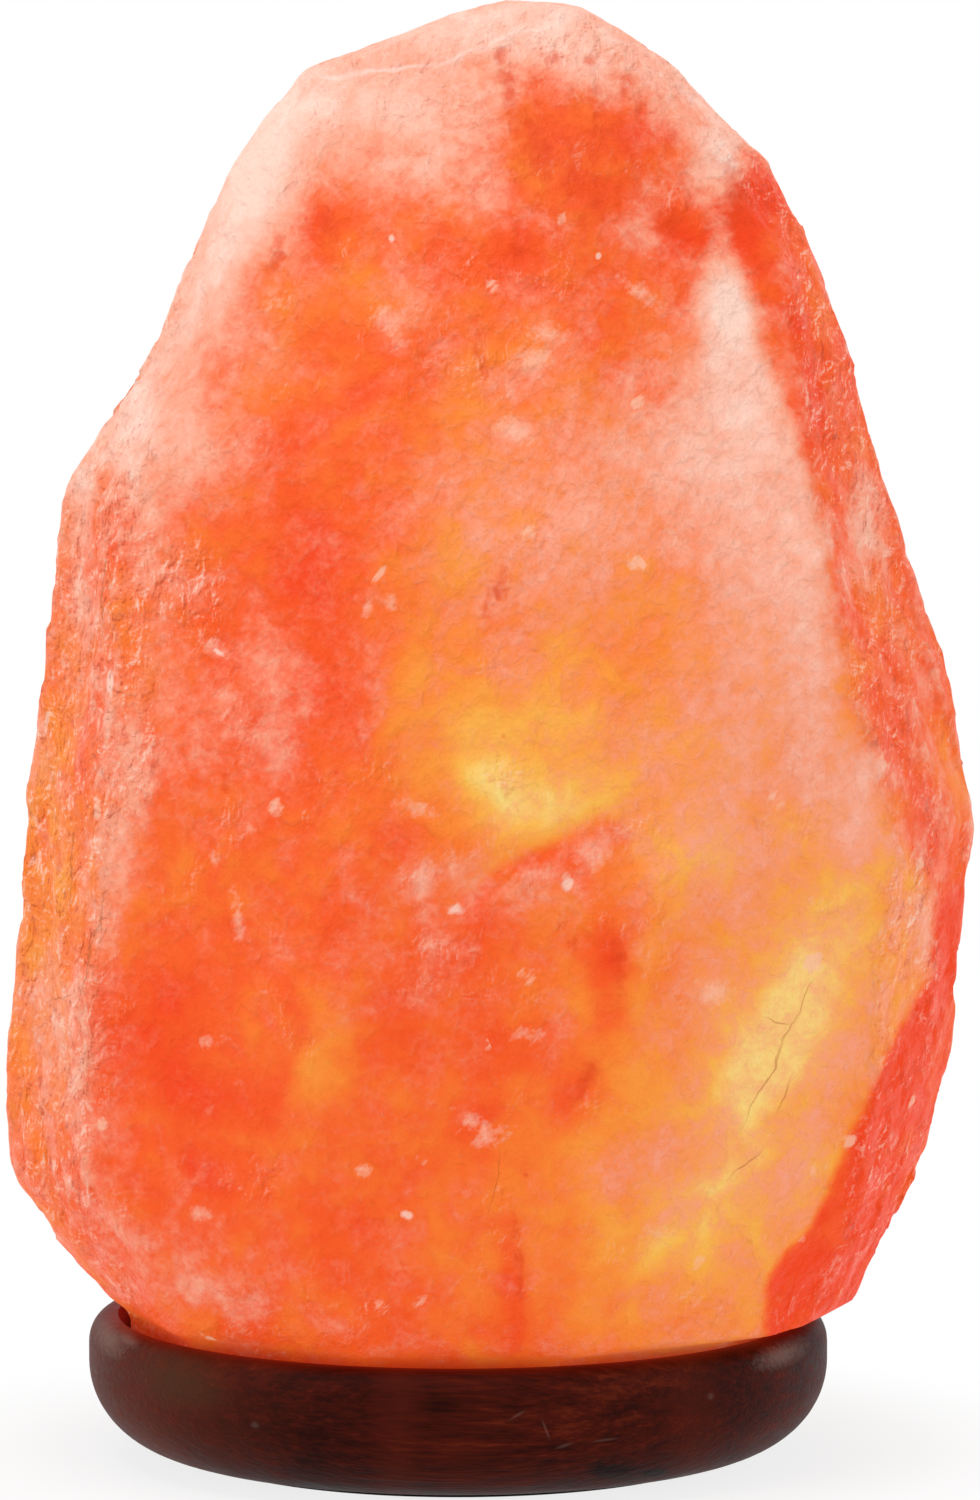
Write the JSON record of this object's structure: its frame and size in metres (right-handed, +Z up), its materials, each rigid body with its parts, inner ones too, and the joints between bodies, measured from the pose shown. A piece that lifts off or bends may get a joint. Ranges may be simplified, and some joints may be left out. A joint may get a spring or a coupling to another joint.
{
  "type": "crystal table lamp",
  "caption": "Table lamp: a rough glowing rock salt crystal on a round dark wooden base, with a screw lamp holder and bulb inside.",
  "frame": {"origin": "on the table, at the middle of the felt ring, below the axis of the turned base", "axes": "+Z up, -Y towards the front that the picture shows, +X to the right"},
  "size_m": [0.1333, 0.1125, 0.1994],
  "materials": {
    "rock_salt": "rough broken rock salt, orange to pink, translucent and lit from inside",
    "stained_wood": "turned hardwood, dark brown stain, satin lacquer",
    "felt": "dense black felt",
    "zinc_steel": "bright zinc plate",
    "spring_steel": "blued spring steel",
    "nylon": "natural nylon",
    "holder_plastic": "black moulded phenolic",
    "porcelain": "white insulating ceramic",
    "brass": "rolled brass",
    "clear_glass": "clear bulb glass",
    "cap_metal": "rolled nickel grey",
    "black_glass": "black insulating glass",
    "solder": "dull solder",
    "wire": "drawn wire",
    "tungsten": "glowing tungsten"
  },
  "bodies": {
    "lamp": {"salt_crystal": "rock_salt", "wooden_base": "stained_wood", "felt_pad": "felt", "base_screws": "zinc_steel", "screw_plugs": "nylon"},
    "light_unit": {"stop_plate": "zinc_steel", "spring_clip": "spring_steel", "nipple": "zinc_steel", "lock_nut": "zinc_steel", "star_washer": "zinc_steel", "holder_cap": "holder_plastic", "holder_shell": "holder_plastic", "holder_core": "porcelain", "screw_shell": "brass", "centre_contact": "brass", "side_contact": "brass", "terminal_screws": "zinc_steel"},
    "bulb": {"bulb_glass": "clear_glass", "bulb_cap": "cap_metal", "cap_insulator": "black_glass", "tip_contact": "solder", "bulb_stem": "clear_glass", "lead_wires": "wire", "support_wires": "wire", "filament": "tungsten"}
  },
  "joints": [
    {"name": "light_unit_pull", "type": "slide", "parent": "lamp", "child": "light_unit", "axis": [0, 0, -1], "range_m": [0, 0.095]},
    {"name": "bulb_turn", "type": "hinge", "parent": "light_unit", "child": "bulb", "pos_m": [0, 0, 0.04], "axis": [0, 0, 1], "range_deg": [0, 900]}
  ]
}
